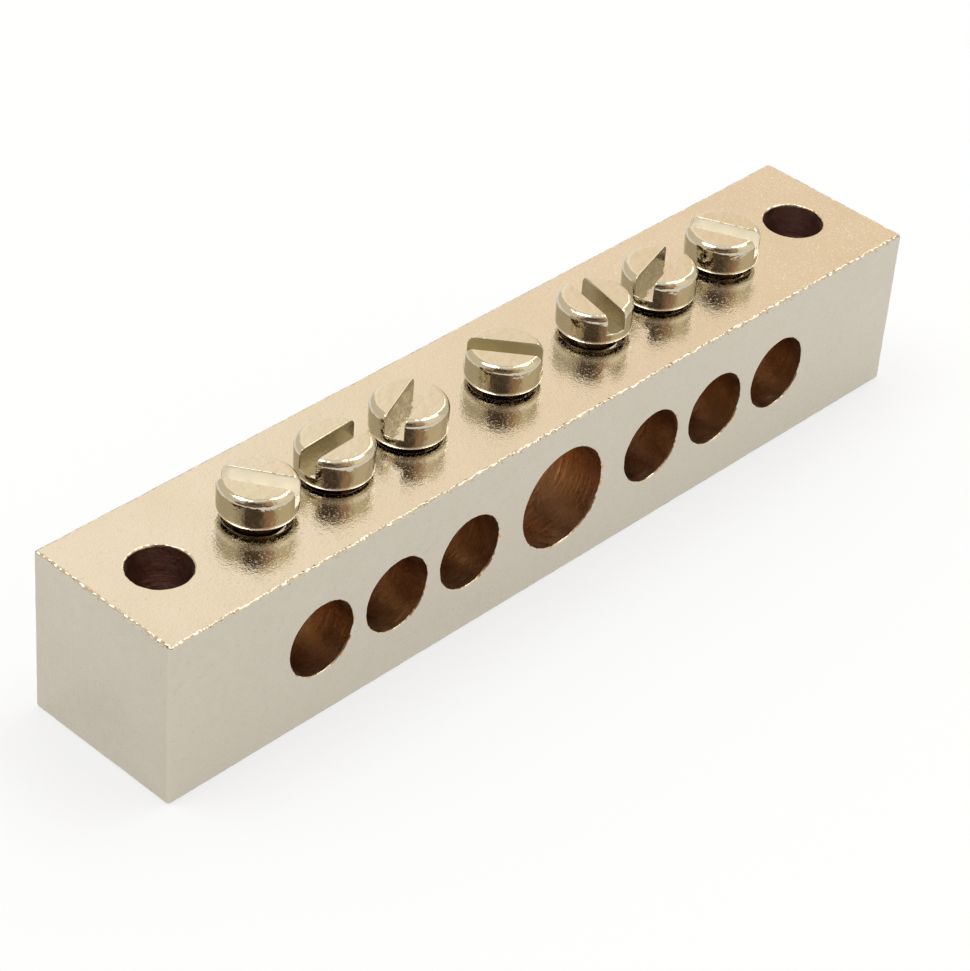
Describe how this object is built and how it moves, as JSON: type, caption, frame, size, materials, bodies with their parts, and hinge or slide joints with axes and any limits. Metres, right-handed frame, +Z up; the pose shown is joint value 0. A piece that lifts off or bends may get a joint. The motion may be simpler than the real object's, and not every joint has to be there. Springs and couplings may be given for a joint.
{
  "type": "earth terminal bar",
  "caption": "Square metal earthing bar with cross-drilled wire ways, a slotted clamping screw over each way, and a fixing hole at each end.",
  "frame": {"origin": "middle of the bar's underside, which is the bottom centre of the whole part", "axes": "+X along the bar, towards its far end in the picture; -Y the face with the wire entries in view; +Z up, the side that the screws are on"},
  "size_m": [0.078, 0.014, 0.0171],
  "materials": {
    "plated_bar": "dull nickel plate over brass, tumbled",
    "plated_screw": "bright nickel plate"
  },
  "bodies": {
    "bar": {"earth_bar": "plated_bar"},
    "screw_1": {"terminal_screw_1": "plated_screw"},
    "screw_2": {"terminal_screw_2": "plated_screw"},
    "screw_3": {"terminal_screw_3": "plated_screw"},
    "screw_4": {"terminal_screw_4": "plated_screw"},
    "screw_5": {"terminal_screw_5": "plated_screw"},
    "screw_6": {"terminal_screw_6": "plated_screw"},
    "screw_7": {"terminal_screw_7": "plated_screw"}
  },
  "joints": [
    {"name": "screw_1_travel", "type": "slide", "parent": "bar", "child": "screw_1", "axis": [0, 0, 1], "range_m": [-0.00053, 0.0041]},
    {"name": "screw_2_travel", "type": "slide", "parent": "bar", "child": "screw_2", "axis": [0, 0, 1], "range_m": [-0.00028, 0.00435]},
    {"name": "screw_3_travel", "type": "slide", "parent": "bar", "child": "screw_3", "axis": [0, 0, 1], "range_m": [-0.00028, 0.00435]},
    {"name": "screw_4_travel", "type": "slide", "parent": "bar", "child": "screw_4", "axis": [0, 0, 1], "range_m": [-0.00038, 0.00545]},
    {"name": "screw_5_travel", "type": "slide", "parent": "bar", "child": "screw_5", "axis": [0, 0, 1], "range_m": [-0.00053, 0.0041]},
    {"name": "screw_6_travel", "type": "slide", "parent": "bar", "child": "screw_6", "axis": [0, 0, 1], "range_m": [-0.00028, 0.00435]},
    {"name": "screw_7_travel", "type": "slide", "parent": "bar", "child": "screw_7", "axis": [0, 0, 1], "range_m": [-0.00043, 0.0042]}
  ]
}
